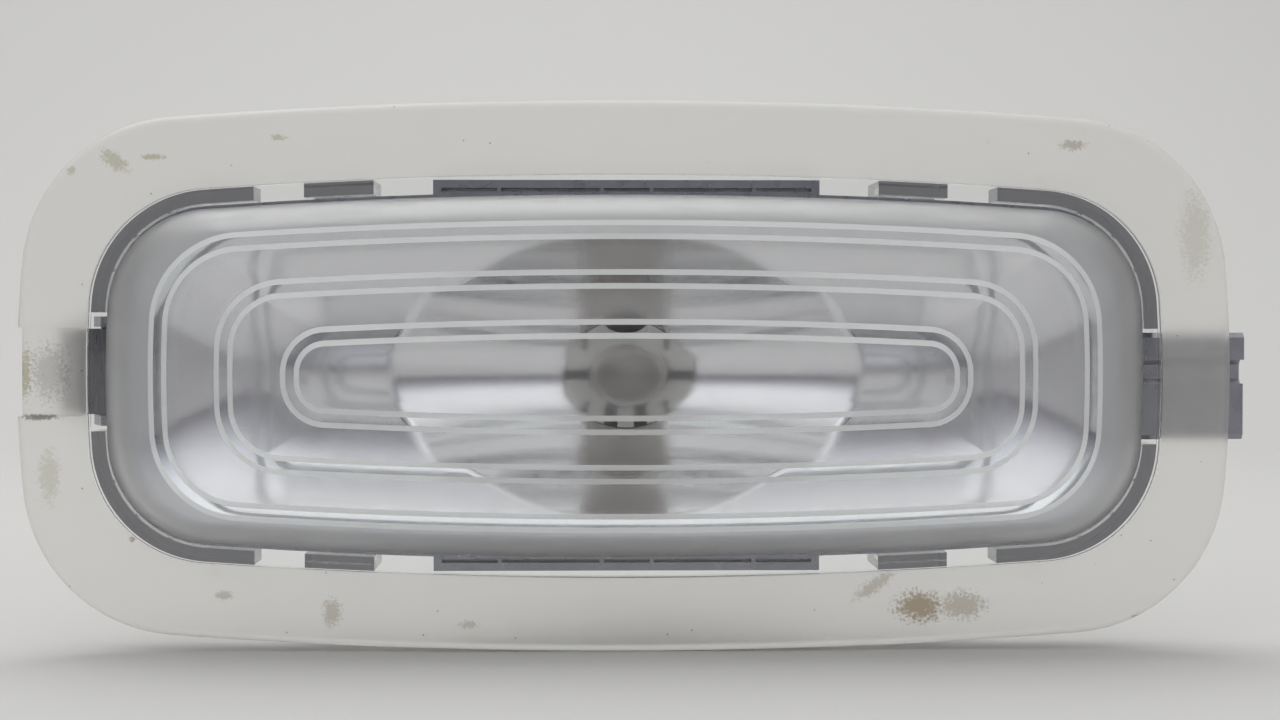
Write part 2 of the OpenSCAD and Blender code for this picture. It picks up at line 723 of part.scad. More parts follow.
// Bulb: a wedge-base glass envelope with its leads and filament

bulb_r = bulb_d / 2;
tip_z = -wedge_z + bulb_len;
wedge_len = 8.6;
neck_z = -wedge_z + wedge_len;
lead_y = 2.2;
coil_up = 12.4;
coil_z = neck_z + coil_up;
lead_r = lead_d / 2;
lead_play = 0.02;
fold_len = 4.2;
hook_lap = 0.3;

// Envelope profile: closed end at the neck, straight wall, rounded tip
function envelope(r, low, high) = concat(
    [for (t = [-90 : 15 : 0]) [r * cos(t), low + 2.4 * (1 + sin(t))]],
    [for (t = [0 : 10 : 90]) [r * cos(t), high - r * 0.9 * (1 - sin(t))]]);

module glass_body() {
    difference() {
        union() {
            rotate_extrude($fn = ROUND) polygon(envelope(bulb_r, neck_z, tip_z));
            box([-wedge_t / 2, -wedge_w / 2, -wedge_z], [wedge_t / 2, wedge_w / 2, neck_z + 1.6]);
            // Ridge that locks the wedge in its holder
            bar_x([[-wedge_w / 2 + 0.6, -wedge_z + 4.4], [-wedge_w / 2 + 0.6, -wedge_z + 5.2],
                [wedge_w / 2 - 0.6, -wedge_z + 5.2], [wedge_w / 2 - 0.6, -wedge_z + 4.4]],
                -wedge_t / 2 - 0.25, wedge_t / 2 + 0.25);
        }
        rotate_extrude($fn = ROUND) polygon(envelope(bulb_r - glass_t, neck_z + 2, tip_z - glass_t));
        for (s = [-1, 1])
            translate([0, s * lead_y, -wedge_z - 1]) cylinder(r = lead_r + 0.05, h = 14, $fn = 16);
    }
}

module bulb_glass() {
    color([0.9, 0.93, 0.95, 0.4]) stand() glass_body();
}

// One lead, on the +Y side: hook at the filament, straight wire, fold under the wedge
module lead_body() {
    fold_x = wedge_t / 2 + lead_r + lead_play;
    low = -wedge_z - lead_r - lead_play;
    translate([0, lead_y, low]) cylinder(r = lead_r, h = coil_z - low, $fn = 16);
    for (p = [[0, lead_y, low], [fold_x, lead_y, low], [0, lead_y, coil_z]])
        translate(p) sphere(r = lead_r, $fn = 16);
    translate([0, lead_y, low]) rotate([0, 90, 0]) cylinder(r = lead_r, h = fold_x, $fn = 16);
    translate([fold_x, lead_y, low]) cylinder(r = lead_r, h = fold_len, $fn = 16);
    translate([0, lead_y, coil_z]) rotate([90, 0, 0])
        cylinder(r = lead_r * 0.7, h = lead_y - coil_len / 2 + hook_lap, $fn = 16);
}

module bulb_lead_upper() {
    color([0.6, 0.6, 0.6]) stand() lead_body();
}

module bulb_lead_lower() {
    color([0.6, 0.6, 0.6]) stand() rotate([0, 0, 180]) lead_body();
}

coil_wire = 0.06;
coil_turns = 9;
coil_steps = 8;

// Filament: a fine wire wound into a coil along Y
module coil_body() {
    n = coil_turns * coil_steps;
    centre = [for (i = [0 : n]) let (a = 360 * i / coil_steps)
        [coil_r * cos(a), coil_len * (i / n - 0.5), coil_z + coil_r * sin(a)]];
    points = [for (i = [0 : n]) for (k = [0 : 3])
        let (a = 360 * i / coil_steps, b = 90 * k)
            centre[i] + coil_wire * (cos(b) * [cos(a), 0, sin(a)] + sin(b) * [0, 1, 0])];
    sides = [for (i = [0 : n - 1]) for (k = [0 : 3])
        let (a = 4 * i + k, b = 4 * i + (k + 1) % 4)
            each [[a, b, b + 4], [a, b + 4, a + 4]]];
    polyhedron(points, concat([[0, 3, 2, 1]], [[4 * n, 4 * n + 1, 4 * n + 2, 4 * n + 3]], sides));
}

module bulb_filament() {
    color([0.5, 0.5, 0.5]) stand() coil_body();
}

lens();
reflector_housing();
spring_clip();
bulb_holder();
contact_left();
contact_right();
bulb_glass();
bulb_filament();
bulb_lead_upper();
bulb_lead_lower();
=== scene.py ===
"""Looks of a car dome light.

A frosted and polished lens, a metallised reflector, a spring clip and a bulb in its holder. Sizes are in
millimetres in lamp coordinates: X along the lamp, Y up in the picture, Z out of the lens from the flange's
back. TO_ROW turns them into the row frame in metres, where the lens faces -Y and its top edge faces +Z.
The floor, the light and the camera are set in that frame.
"""

import json
import math

import bmesh
import bpy
import numpy as np
from mathutils import Matrix, Vector

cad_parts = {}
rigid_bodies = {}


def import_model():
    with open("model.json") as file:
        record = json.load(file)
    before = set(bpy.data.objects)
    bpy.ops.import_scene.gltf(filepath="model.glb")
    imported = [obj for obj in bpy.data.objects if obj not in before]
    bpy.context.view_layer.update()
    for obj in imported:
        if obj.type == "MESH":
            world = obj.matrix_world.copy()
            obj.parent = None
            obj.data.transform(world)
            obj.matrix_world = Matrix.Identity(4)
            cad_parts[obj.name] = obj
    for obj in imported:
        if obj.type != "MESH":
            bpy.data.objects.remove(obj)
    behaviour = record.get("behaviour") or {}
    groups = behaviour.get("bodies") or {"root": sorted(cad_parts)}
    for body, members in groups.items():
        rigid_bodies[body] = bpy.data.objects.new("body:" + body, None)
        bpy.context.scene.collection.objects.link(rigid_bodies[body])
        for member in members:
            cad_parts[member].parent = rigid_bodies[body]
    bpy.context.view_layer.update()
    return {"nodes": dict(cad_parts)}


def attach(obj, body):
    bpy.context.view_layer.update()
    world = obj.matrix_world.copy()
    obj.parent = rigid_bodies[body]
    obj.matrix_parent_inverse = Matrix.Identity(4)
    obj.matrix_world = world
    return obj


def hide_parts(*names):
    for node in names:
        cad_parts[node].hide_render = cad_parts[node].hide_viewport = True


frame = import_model()
nodes = frame["nodes"]

MM = 0.001
TO_ROW = Matrix(((MM, 0, 0, 0), (0, 0, -MM, 0), (0, MM, 0, 0), (0, 0, 0, 1)))

# Shapes are (length, height, long bow radius, short bow radius, corner radius), and most share these bows
LONG_BOW_R, SHORT_BOW_R = 730.0, 148.0

# Flange
FLANGE = (150.0, 68.2, LONG_BOW_R, SHORT_BOW_R, 19.7)
FLANGE_T, FLANGE_EDGE = 2.2, 1.1
# Pry notch in the left edge, its step in front and the pocket behind it
NOTCH_H, NOTCH_STEP, FRONT_STEP = 10.9, 0.75, 0.4
NOTCH_LEN, NOTCH_DEPTH, NOTCH_CORNER = 7.6, 1.1, 0.6
# Clear band round the dome
BAND_OUT = (132.6, 49.7, LONG_BOW_R, SHORT_BOW_R, 14.9)
BAND_END, BAND_SIDE, BAND_DROP = 2.2, 2.45, 0.8
# Dome: the outermost ring, what each next ring loses (of the short bow, a share), and the rings' double line
FIRST_RING = (116.0, 37.6, LONG_BOW_R, SHORT_BOW_R, 11.0)
RING_COUNT, RING_IN_X, RING_IN_Y, RING_IN_CORNER, RING_IN_BOW = 3, 8.17, 6.05, 2.9, 0.3
DOME_RISE, DOME_T, DOME_IN = 3.6, 1.8, 1.3
LINE_W, LINE_RISE, STRIP_W, STRIP_RISE, TERRACE_RISE = 0.7, 0.45, 1.0, 0.02, 0.3
# Skirt with its gaps for the reflector's flanks, and the chamfers of the lens's hidden edges
SKIRT_T, SKIRT_DEPTH, SHOULDER, FLANK_HALF = 1.7, 7.0, 0.4, 24.4
CHAMFER, BAND_CHAMFER = 0.15, 0.1
# Snap hooks and the ribs in the skirt's corners
HOOK_X, HOOK_W, HOOK_SLOT, HOOK_GRIP, HOOK_DEPTH = 35.6, 8.6, 6.2, 9.15, 11.75
HOOK_BARB, BARB_LAND, BARB_ROOT, BARB_SIDE = 1.0, 0.5, 0.5, 0.4
RIB_ANGLES, RIB_HALF_W, RIB_ROOT, RIB_PROUD = (22, 44, 66), 0.2, 0.4, 0.6
# Small marks beside the band
MARK_W, MARK_H, MARK_X, MARK_GAP, MARK_DEPTH = 2.2, 1.4, 50.2, 0.9, 0.5
# Windows in the skirt for the spring clip with its cheeks, and for the tongue
CLIP_Y, CLIP_W, CHEEK_GAP, CHEEK_T = 0.5, 10.6, 0.25, 1.3
TONGUE_LOW, TONGUE_TOP = -8.1, 5.3
WINDOW_GAP = 0.5
# Rim wall of the reflector, inside which the mirror skin lies. Their depths count back from the flange's back
RIM_GAP, WALL, RIM_Z = 0.3, 1.5, 0.5
# Mirror skin: its hole for the holder, its dished wings with their floor's corner as a share of the floor's
# half height, and its bowl's half length, half height and depth below the wings
SKIN_LIFT, SKIN_T = 0.14, 0.06
SKIN_HOLE_R, SKIN_HOLE_Z = 8.85, 17.2
TRAY_IN_X, TRAY_IN_Y, TRAY_DEPTH, TRAY_CORNER = 15.0, 18.0, 4.2, 0.3
BOWL_R, BOWL_Y, BOWL_DEPTH = 30.5, 14.8, 6.5

BAND_Z = FLANGE_T - BAND_DROP
RING_Z = BAND_Z + DOME_RISE
RING_STEP = 2 * LINE_RISE + TERRACE_RISE
NOTCH_X = -FLANGE[0] / 2 + NOTCH_STEP
NOTCH_LOW, NOTCH_TOP = CLIP_Y - NOTCH_H / 2, CLIP_Y + NOTCH_H / 2
CLIP_WINDOW = CLIP_W / 2 + CHEEK_GAP + CHEEK_T + WINDOW_GAP
BOWL_Z = RIM_Z + TRAY_DEPTH + BOWL_DEPTH
BOWL_F = BOWL_R**2 / (4 * BOWL_DEPTH)


def inset(shape, d):
    """The shape whose outline lies a distance d inside."""
    length, height, long_bow, short_bow, corner = shape
    return (length - 2 * d, height - 2 * d, long_bow - d, short_bow - d, corner - d)


def mix(a, b, t):
    """Blends two shapes, from a at 0 to b at 1."""
    return tuple(x + (y - x) * t for x, y in zip(a, b))


def ring(i):
    """The shape that the dome's ring number i follows, counted from the outermost."""
    length, height, long_bow, short_bow, corner = FIRST_RING
    return (
        length - 2 * RING_IN_X * i,
        height - 2 * RING_IN_Y * i,
        long_bow,
        short_bow * (1 - RING_IN_BOW * i),
        corner - RING_IN_CORNER * i,
    )


BAND_IN = (
    BAND_OUT[0] - 2 * BAND_END,
    BAND_OUT[1] - 2 * BAND_SIDE,
    BAND_OUT[2],
    BAND_OUT[3],
    BAND_OUT[4] - BAND_END,
)
SKIRT_IN = inset(BAND_OUT, SKIRT_T)
RIM = inset(SKIRT_IN, RIM_GAP)
RIM_IN = inset(RIM, WALL)
TRAY = (
    RIM_IN[0] - 2 * TRAY_IN_X,
    RIM_IN[1] - 2 * TRAY_IN_Y,
    LONG_BOW_R,
    SHORT_BOW_R,
    TRAY_CORNER * (RIM_IN[1] / 2 - TRAY_IN_Y),
)


def arcs(shape):
    """The quarter's three arcs as (centre, radius, start, end): short side, corner, long side."""
    length, height, long_bow, short_bow, corner = shape
    below = Vector((0, height / 2 - long_bow))
    beside = Vector((length / 2 - short_bow, 0))
    to_below, to_beside = long_bow - corner, short_bow - corner
    apart = (beside - below).length
    along = (beside - below) / apart
    foot = (to_below * to_below - to_beside * to_beside + apart * apart) / (2 * apart)
    off = math.sqrt(max(0, to_below * to_below - foot * foot))
    centre = below + foot * along + off * Vector((along.y, -along.x))
    t_short = math.atan2(centre.y - beside.y, centre.x - beside.x)
    t_long = math.atan2(centre.y - below.y, centre.x - below.x)
    return (
        (beside, short_bow, 0, t_short),
        (centre, corner, t_short, t_long),
        (below, long_bow, t_long, math.pi / 2),
    )


# Steps of the short side, the corner and the long side in a quarter of an outline
ARC_STEPS = (8, 26, 22)


def outline(shape):
    """Points of the whole outline, anticlockwise from the short side's middle."""
    quarter = [
        (centre.x + r * math.cos(t), centre.y + r * math.sin(t))
        for (centre, r, t0, t1), steps in zip(arcs(shape), ARC_STEPS)
        for t in (t0 + (t1 - t0) * i / steps for i in range(steps))
    ]
    upper = quarter + [(0.0, shape[1] / 2)] + [(-x, y) for x, y in quarter[:0:-1]]
    return upper + [(-x, -y) for x, y in upper]


def side_y(shape, x):
    """Height of a shape's long side at a distance x from the middle."""
    height, long_bow = shape[1:3]
    return height / 2 - long_bow + math.sqrt(long_bow**2 - x * x)


def reach(shape, angle):
    """Distance from the middle to a shape's outline along a direction."""
    ux, uy = abs(math.cos(angle)), abs(math.sin(angle))
    best, slack = 0, 1e-4
    for centre, r, t0, t1 in arcs(shape):
        along = centre.x * ux + centre.y * uy
        rest = r * r - (centre.x**2 + centre.y**2 - along**2)
        if rest < 0:
            continue
        d = along + math.sqrt(rest)
        t = math.atan2(d * uy - centre.y, d * ux - centre.x)
        if t0 - slack <= t <= t1 + slack:
            best = max(best, d)
    return best


# Mesh helpers


def new_object(name, verts, faces, mats=(), indices=None):
    """A mesh object from lamp coordinates in millimetres."""
    mesh = bpy.data.meshes.new(name)
    mesh.from_pydata([tuple(v) for v in verts], [], faces)
    for m in mats:
        mesh.materials.append(m)
    if indices is not None:
        mesh.polygons.foreach_set("material_index", indices)
    obj = bpy.data.objects.new(name, mesh)
    bpy.context.scene.collection.objects.link(obj)
    return obj


def clean(obj, weld=1e-4):
    """Welds double points and turns the faces outwards."""
    bm = bmesh.new()
    bm.from_mesh(obj.data)
    bmesh.ops.remove_doubles(bm, verts=bm.verts, dist=weld)
    bmesh.ops.dissolve_degenerate(bm, edges=bm.edges, dist=weld)
    bmesh.ops.recalc_face_normals(bm, faces=bm.faces)
    bm.to_mesh(obj.data)
    bm.free()
    return obj


def smooth(obj, angle):
    """Smooth shading with sharp edges above an angle."""
    obj.data.polygons.foreach_set("use_smooth", [True] * len(obj.data.polygons))
    obj.data.set_sharp_from_angle(angle=math.radians(angle))


def place(obj, body):
    """Turns a finished piece from lamp coordinates into the row frame and sets it on its body."""
    obj.data.transform(TO_ROW)
    obj.data.update()
    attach(obj, body)


def loft(name, sections, mats, cap_mats):
    """A closed solid through outlines, given as (shape, height, material of the band up to the next)."""
    n = len(outline(sections[0][0]))
    verts, faces, indices = [], [], []
    for shape, z, _ in sections:
        verts += [(x, y, z) for x, y in outline(shape)]
    for k in range(len(sections) - 1):
        for i in range(n):
            j = (i + 1) % n
            faces.append((k * n + i, k * n + j, (k + 1) * n + j, (k + 1) * n + i))
            indices.append(sections[k][2])
    last = (len(sections) - 1) * n
    faces += [tuple(range(n)), tuple(range(last, last + n))]
    indices += list(cap_mats)
    return clean(new_object(name, verts, faces, mats, indices))


def box_object(name, low, high, mats=(), index=0):
    """A box between two opposite corners."""
    corners = [(x, y, z) for x in (low[0], high[0]) for y in (low[1], high[1]) for z in (low[2], high[2])]
    faces = [(0, 1, 3, 2), (4, 6, 7, 5), (0, 4, 5, 1), (2, 3, 7, 6), (0, 2, 6, 4), (1, 5, 7, 3)]
    return clean(new_object(name, corners, faces, mats, [index] * 6))


def prism(name, points, height, to_point, mats=(), index=0):
    """An extruded polygon: to_point(u, v, w) places the profile's (u, v) at w from 0 to height."""
    n = len(points)
    verts = [to_point(u, v, w) for w in (0, height) for u, v in points]
    faces = [tuple(range(n)), tuple(range(n, 2 * n))]
    faces += [(i, (i + 1) % n, n + (i + 1) % n, n + i) for i in range(n)]
    return clean(new_object(name, verts, faces, mats, [index] * len(faces)))


def upright(name, points, low, high, mats=(), index=0):
    """A prism that stands along Z between two heights."""
    return prism(name, points, high - low, lambda u, v, w: (u, v, w + low), mats, index)


def round_prism(name, centre, r, low, high, steps=72):
    """A cylinder along Z between two heights."""
    angles = [2 * math.pi * i / steps for i in range(steps)]
    points = [(centre[0] + r * math.cos(t), centre[1] + r * math.sin(t)) for t in angles]
    return upright(name, points, low, high)


def combine(obj, others, operation):
    """Applies one exact boolean of obj with all the others, which are then removed."""
    group = bpy.data.collections.new("cutters")
    bpy.context.scene.collection.children.link(group)
    for o in others:
        bpy.context.scene.collection.objects.unlink(o)
        group.objects.link(o)
    mod = obj.modifiers.new("combine", "BOOLEAN")
    mod.operation = operation
    mod.solver = "EXACT"
    mod.operand_type = "COLLECTION"
    mod.collection = group
    bpy.context.view_layer.update()
    evaluated = obj.evaluated_get(bpy.context.evaluated_depsgraph_get())
    made = bpy.data.meshes.new_from_object(evaluated)
    obj.modifiers.clear()
    obj.data = made
    for o in list(group.objects):
        bpy.data.objects.remove(o)
    bpy.data.collections.remove(group)


# Materials


def material(name):
    """A new material with its node tree and its shader."""
    finish = bpy.data.materials.new(name)
    finish.use_nodes = True
    return finish, finish.node_tree, finish.node_tree.nodes["Principled BSDF"]


def noise(tree, scale, detail=3.0, rough=0.5, stretch=(1, 1, 1)):
    """A noise texture in the object's own coordinates; scale is in waves per millimetre."""
    coord = tree.nodes.new("ShaderNodeTexCoord")
    size = tree.nodes.new("ShaderNodeMapping")
    size.inputs["Scale"].default_value = [k / MM for k in stretch]
    tex = tree.nodes.new("ShaderNodeTexNoise")
    tex.inputs["Scale"].default_value = scale
    tex.inputs["Detail"].default_value = detail
    tex.inputs["Roughness"].default_value = rough
    tree.links.new(coord.outputs["Object"], size.inputs["Vector"])
    tree.links.new(size.outputs["Vector"], tex.inputs["Vector"])
    return tex.outputs["Fac"]


def remap(tree, value, low, high, to_low, to_high):
    """Maps low and high to to_low and to_high, and holds what lies beyond at those."""
    node = tree.nodes.new("ShaderNodeMapRange")
    for name, v in zip(("From Min", "From Max", "To Min", "To Max"), (low, high, to_low, to_high)):
        node.inputs[name].default_value = v
    tree.links.new(value, node.inputs["Value"])
    return node.outputs["Result"]


def roughen(tree, shader, value, low, high, smoothest, roughest):
    """Makes the roughness run from smoothest to roughest while the value runs from low to high."""
    tree.links.new(remap(tree, value, low, high, smoothest, roughest), shader.inputs["Roughness"])


def bump(tree, shader, value, depth):
    """A bump of a depth in millimetres."""
    node = tree.nodes.new("ShaderNodeBump")
    node.inputs["Strength"].default_value = 1
    node.inputs["Distance"].default_value = depth * MM
    tree.links.new(value, node.inputs["Height"])
    tree.links.new(node.outputs["Normal"], shader.inputs["Normal"])


def tint(tree, shader, value, dark, light):
    """Makes the colour run from dark to light while the value runs from 0 to 1."""
    node = tree.nodes.new("ShaderNodeMix")
    node.data_type = "RGBA"
    node.inputs["A"].default_value = (*dark, 1)
    node.inputs["B"].default_value = (*light, 1)
    tree.links.new(value, node.inputs["Factor"])
    tree.links.new(node.outputs["Result"], shader.inputs["Base Color"])


def math_node(tree, operation, *values):
    """The result of a math operation on outputs and plain numbers."""
    node = tree.nodes.new("ShaderNodeMath")
    node.operation = operation
    for socket, value in zip(node.inputs, values):
        if isinstance(value, (int, float)):
            socket.default_value = value
        else:
            tree.links.new(value, socket)
    return node.outputs["Value"]


# Dirt and painted shade on the flange: the grit's noise, how dense a stain and its grit are together where
# the colour starts and where it is full, and the dark specks' cells per millimetre, radius and share of the
# cells
GRIT_NOISE = (2.6, 8, 0.75)
GRIT_START, GRIT_FULL, STAIN_DENSITY = 0.70, 0.84, 0.5
SPECK_CELLS, SPECK_R, SPECK_SHARE, SPECK_CORE, SPECK_RAMP = 0.6, 0.12, 0.30, 0.6, 0.02
# Stains and painted shade: middle, half size, turn in degrees, strength and colour index
BROWN, OLIVE, DARK = range(3)
STAIN_AND_SHADE_COLOURS = ((0.30, 0.22, 0.13), (0.46, 0.42, 0.27), (0.16, 0.14, 0.12))
STAINS_AND_SHADE = (
    ((36.2, -28.6), (5.6, 3.6), 0, 1.0, BROWN),
    ((41.5, -28.4), (5.5, 3.2), 0, 0.7, BROWN),
    ((30.6, -25.9), (5.5, 1.6), -35, 0.6, BROWN),
    ((-36.3, -29.1), (2.2, 3.2), 0, 0.6, BROWN),
    ((-49.6, -27.0), (2.0, 1.1), 0, 0.6, BROWN),
    ((-19.6, -30.7), (2.2, 0.9), 0, 0.5, BROWN),
    ((63.3, -30.1), (1.2, 1.0), 0, 0.6, BROWN),
    ((-60.8, -20.0), (0.8, 0.8), 0, 0.9, BROWN),
    ((55.2, 28.5), (3.0, 1.2), 0, 0.7, BROWN),
    ((-62.8, 26.4), (3.6, 1.8), 35, 0.8, OLIVE),
    ((-58.2, 26.9), (2.8, 0.7), 0, 0.9, OLIVE),
    ((-42.8, 29.3), (1.9, 0.7), 0, 0.8, OLIVE),
    ((-68.1, 25.2), (1.0, 1.0), 0, 0.7, OLIVE),
    ((70.4, 17.4), (3.6, 10.0), 0, 0.45, OLIVE),
    ((-70.9, -12.2), (2.4, 6.0), 0, 0.5, OLIVE),
    ((-73.9, 0.4), (1.6, 6.5), 0, 0.9, OLIVE),
    # Painted shade: a dark line along the notch's lower edge
    ((-72.0, -5.0), (4.5, 0.7), 0, 1.0, DARK),
    ((-71.0, 0.4), (4.5, 6.5), 0, 0.5, DARK),
)


def patch(tree, at, size, turn):
    """A soft spot in the picture's plane, 1 in its middle and 0 at its edge."""
    coord = tree.nodes.new("ShaderNodeTexCoord")
    place_at = tree.nodes.new("ShaderNodeMapping")
    place_at.vector_type = "TEXTURE"
    place_at.inputs["Location"].default_value = (at[0] * MM, 0, at[1] * MM)
    place_at.inputs["Rotation"].default_value = (0, math.radians(turn), 0)
    place_at.inputs["Scale"].default_value = (size[0] * MM, 1, size[1] * MM)
    spot = tree.nodes.new("ShaderNodeTexGradient")
    spot.gradient_type = "SPHERICAL"
    tree.links.new(coord.outputs["Object"], place_at.inputs["Vector"])
    tree.links.new(place_at.outputs["Vector"], spot.inputs["Vector"])
    return spot.outputs["Fac"]


def specks(tree):
    """Small round specks with soft edges, in a share of the cells of a cell pattern."""
    coord = tree.nodes.new("ShaderNodeTexCoord")
    cells = tree.nodes.new("ShaderNodeTexVoronoi")
    cells.inputs["Scale"].default_value = SPECK_CELLS / MM
    tree.links.new(coord.outputs["Object"], cells.inputs["Vector"])
    chance = tree.nodes.new("ShaderNodeSeparateColor")
    tree.links.new(cells.outputs["Color"], chance.inputs["Color"])
    edge = SPECK_R * SPECK_CELLS
    small = remap(tree, cells.outputs["Distance"], edge, SPECK_CORE * edge, 0, 1)
    some = remap(tree, chance.outputs["Red"], 1 - SPECK_SHARE, 1 - SPECK_SHARE + SPECK_RAMP, 0, 1)
    return math_node(tree, "MULTIPLY", small, some)


def soil_and_shade(tree, shader):
    """Lays the stains, the specks and the painted shade at the notch over the shader's colour."""
    grit = noise(tree, *GRIT_NOISE)
    for index, colour in enumerate(STAIN_AND_SHADE_COLOURS):
        total = specks(tree) if index == DARK else None
        for at, size, turn, strength, kind in STAINS_AND_SHADE:
            if kind != index:
                continue
            # The grit shows where the spot is dense, and only its peaks towards the edge
            spot = remap(tree, patch(tree, at, size, turn), 0, 1, 0, STAIN_DENSITY)
            sharp = remap(tree, math_node(tree, "ADD", spot, grit), GRIT_START, GRIT_FULL, 0, 1)
            weak = math_node(tree, "MULTIPLY", sharp, strength)
            total = weak if total is None else math_node(tree, "MAXIMUM", total, weak)
        over = tree.nodes.new("ShaderNodeMix")
        over.data_type = "RGBA"
        over.inputs["B"].default_value = (*colour, 1)
        below = shader.inputs["Base Color"].links[0].from_socket
        tree.links.new(total, over.inputs["Factor"])
        tree.links.new(below, over.inputs["A"])
        tree.links.new(over.outputs["Result"], shader.inputs["Base Color"])


PLASTIC_IOR, GLASS_IOR = 1.52, 1.5
ROUGHNESS_SWING, MOTTLE = 0.03, 0.97


def frosted(name, colour, clear, roughness, grain, soiled_and_shaded=False):
    """Frosted plastic: clear is the share of light that passes, and grain the bump in millimetres."""
    finish, tree, shader = material(name)
    shader.inputs["IOR"].default_value = PLASTIC_IOR
    shader.inputs["Transmission Weight"].default_value = clear
    dark = [c * MOTTLE for c in colour]
    tint(tree, shader, noise(tree, 0.2, 4), dark, colour)
    if soiled_and_shaded:
        soil_and_shade(tree, shader)
    smoothest, roughest = roughness - ROUGHNESS_SWING, roughness + ROUGHNESS_SWING
    roughen(tree, shader, noise(tree, 0.6, 4), 0.3, 0.7, smoothest, roughest)
    if grain:
        bump(tree, shader, noise(tree, 5.0, 2), grain)
    return finish


def polished(name, colour, roughness):
    finish, tree, shader = material(name)
    shader.inputs["IOR"].default_value = PLASTIC_IOR
    shader.inputs["Transmission Weight"].default_value = 1
    shader.inputs["Base Color"].default_value = (*colour, 1)
    roughen(tree, shader, noise(tree, 0.4, 5), 0.35, 0.75, roughness, roughness + 0.05)
    bump(tree, shader, noise(tree, 0.25, 2), 0.004)
    return finish


def mirror(name, dark, light, smoothest, roughest):
    finish, tree, shader = material(name)
    shader.inputs["Metallic"].default_value = 1
    tint(tree, shader, noise(tree, 0.3, 4), dark, light)
    roughen(tree, shader, noise(tree, 0.5, 5), 0.3, 0.8, smoothest, roughest)
    bump(tree, shader, noise(tree, 0.12, 1), 0.003)
    return finish


def steel():
    """Drawn steel, whose streaks run along the strip's width."""
    finish, tree, shader = material("spring_steel_strip")
    shader.inputs["Metallic"].default_value = 1
    tint(tree, shader, noise(tree, 0.8, 6, 0.7, (4, 4, 0.25)), (0.07, 0.07, 0.08), (0.24, 0.24, 0.26))
    roughen(tree, shader, noise(tree, 1.2, 5, 0.6, (5, 5, 0.2)), 0.3, 0.7, 0.22, 0.42)
    bump(tree, shader, noise(tree, 1.5, 4, 0.6, (6, 6, 0.2)), 0.01)
    return finish


def white_plastic():
    finish, tree, shader = material("white_moulding")
    shader.inputs["Subsurface Weight"].default_value = 0.1
    shader.inputs["Subsurface Radius"].default_value = (MM, MM, MM)
    tint(tree, shader, noise(tree, 0.25, 5), (0.80, 0.79, 0.75), (0.87, 0.87, 0.85))
    roughen(tree, shader, noise(tree, 1.0, 4), 0.3, 0.7, 0.36, 0.48)
    bump(tree, shader, noise(tree, 4.0, 3), 0.006)
    return finish


def brass():
    finish, tree, shader = material("tinned_strip")
    shader.inputs["Metallic"].default_value = 1
    tint(tree, shader, noise(tree, 0.5, 5), (0.55, 0.46, 0.30), (0.72, 0.66, 0.52))
    roughen(tree, shader, noise(tree, 1.5, 5), 0.3, 0.7, 0.2, 0.4)
    return finish


def wire(name, dark, light):
    finish, tree, shader = material(name)
    shader.inputs["Metallic"].default_value = 1
    tint(tree, shader, noise(tree, 2.0, 3), dark, light)
    shader.inputs["Roughness"].default_value = 0.35
    return finish


def bulb_glass():
    finish, tree, shader = material("bulb_envelope")
    shader.inputs["IOR"].default_value = GLASS_IOR
    shader.inputs["Transmission Weight"].default_value = 0.75
    tint(tree, shader, noise(tree, 0.3, 5), (0.60, 0.56, 0.50), (0.84, 0.81, 0.76))
    shader.inputs["Roughness"].default_value = 0.06
    return finish


FROST, CLEAR, TERRACE, LINE, SLOPE, SKIRT_END = range(6)
LENS_MATERIALS = (
    frosted("frosted_flange", (0.945, 0.93, 0.885), 0.80, 0.50, 0.010, soiled_and_shaded=True),
    polished("polished_plastic", (0.95, 0.965, 0.96), 0.015),
    frosted("frosted_dome", (0.95, 0.935, 0.945), 0.92, 0.22, 0.0),
    frosted("chamfer_line", (0.96, 0.97, 0.97), 0.35, 0.45, 0.006),
    frosted("frosted_slope", (0.78, 0.78, 0.79), 0.80, 0.55, 0.0),
    # Painted shade: the skirt's ends are dark grey, so that the clear band in front of them looks shaded
    frosted("skirt_end_painted_shade", (0.16, 0.16, 0.18), 0.50, 0.45, 0.02),
)
MIRROR = mirror("metallised_skin", (0.78, 0.79, 0.82), (0.86, 0.87, 0.89), 0.05, 0.14)
# The housing outside the light's path, where the metal is thin and dull; its dark colour is also painted
# shade, seen through the lower flange
DULL_AND_SHADED_OUTSIDE = mirror("metallised_outside", (0.24, 0.24, 0.27), (0.36, 0.36, 0.40), 0.24, 0.40)


# Lens: a loft through sections of (shape, height, material up to the next), then cuts and additions

# Steps of the dome's side wall, the flange's edge and the hollow's rounding, which turns this far in degrees
WALL_STEPS, EDGE_STEPS, HOLLOW_STEPS, HOLLOW_TURN = 12, 8, 10, 60
FOOT = inset(ring(0), -LINE_W / 2)


def turns(steps, start, end):
    """Angles in radians in even steps between two angles in degrees."""
    return [math.radians(start + (end - start) * i / steps) for i in range(steps + 1)]


def dome_sections():
    """From the dome's flat top down its rings and its side wall to the band."""
    out = []
    for i in reversed(range(RING_COUNT)):
        s, z = ring(i), RING_Z + i * RING_STEP
        out += [
            (inset(s, 1.5 * LINE_W + STRIP_W), z + 2 * LINE_RISE, LINE),
            (inset(s, LINE_W / 2 + STRIP_W), z + LINE_RISE + STRIP_RISE, CLEAR),
            (inset(s, LINE_W / 2), z + LINE_RISE, LINE),
            (inset(s, -LINE_W / 2), z, TERRACE if i else SLOPE),
        ]
    out += [
        (mix(BAND_IN, FOOT, 1 - math.cos(t)), BAND_Z + DOME_RISE * math.sin(t), SLOPE)
        for t in turns(WALL_STEPS, 90, 0)[1:-1]
    ]
    return out + [(BAND_IN, BAND_Z, CLEAR)]


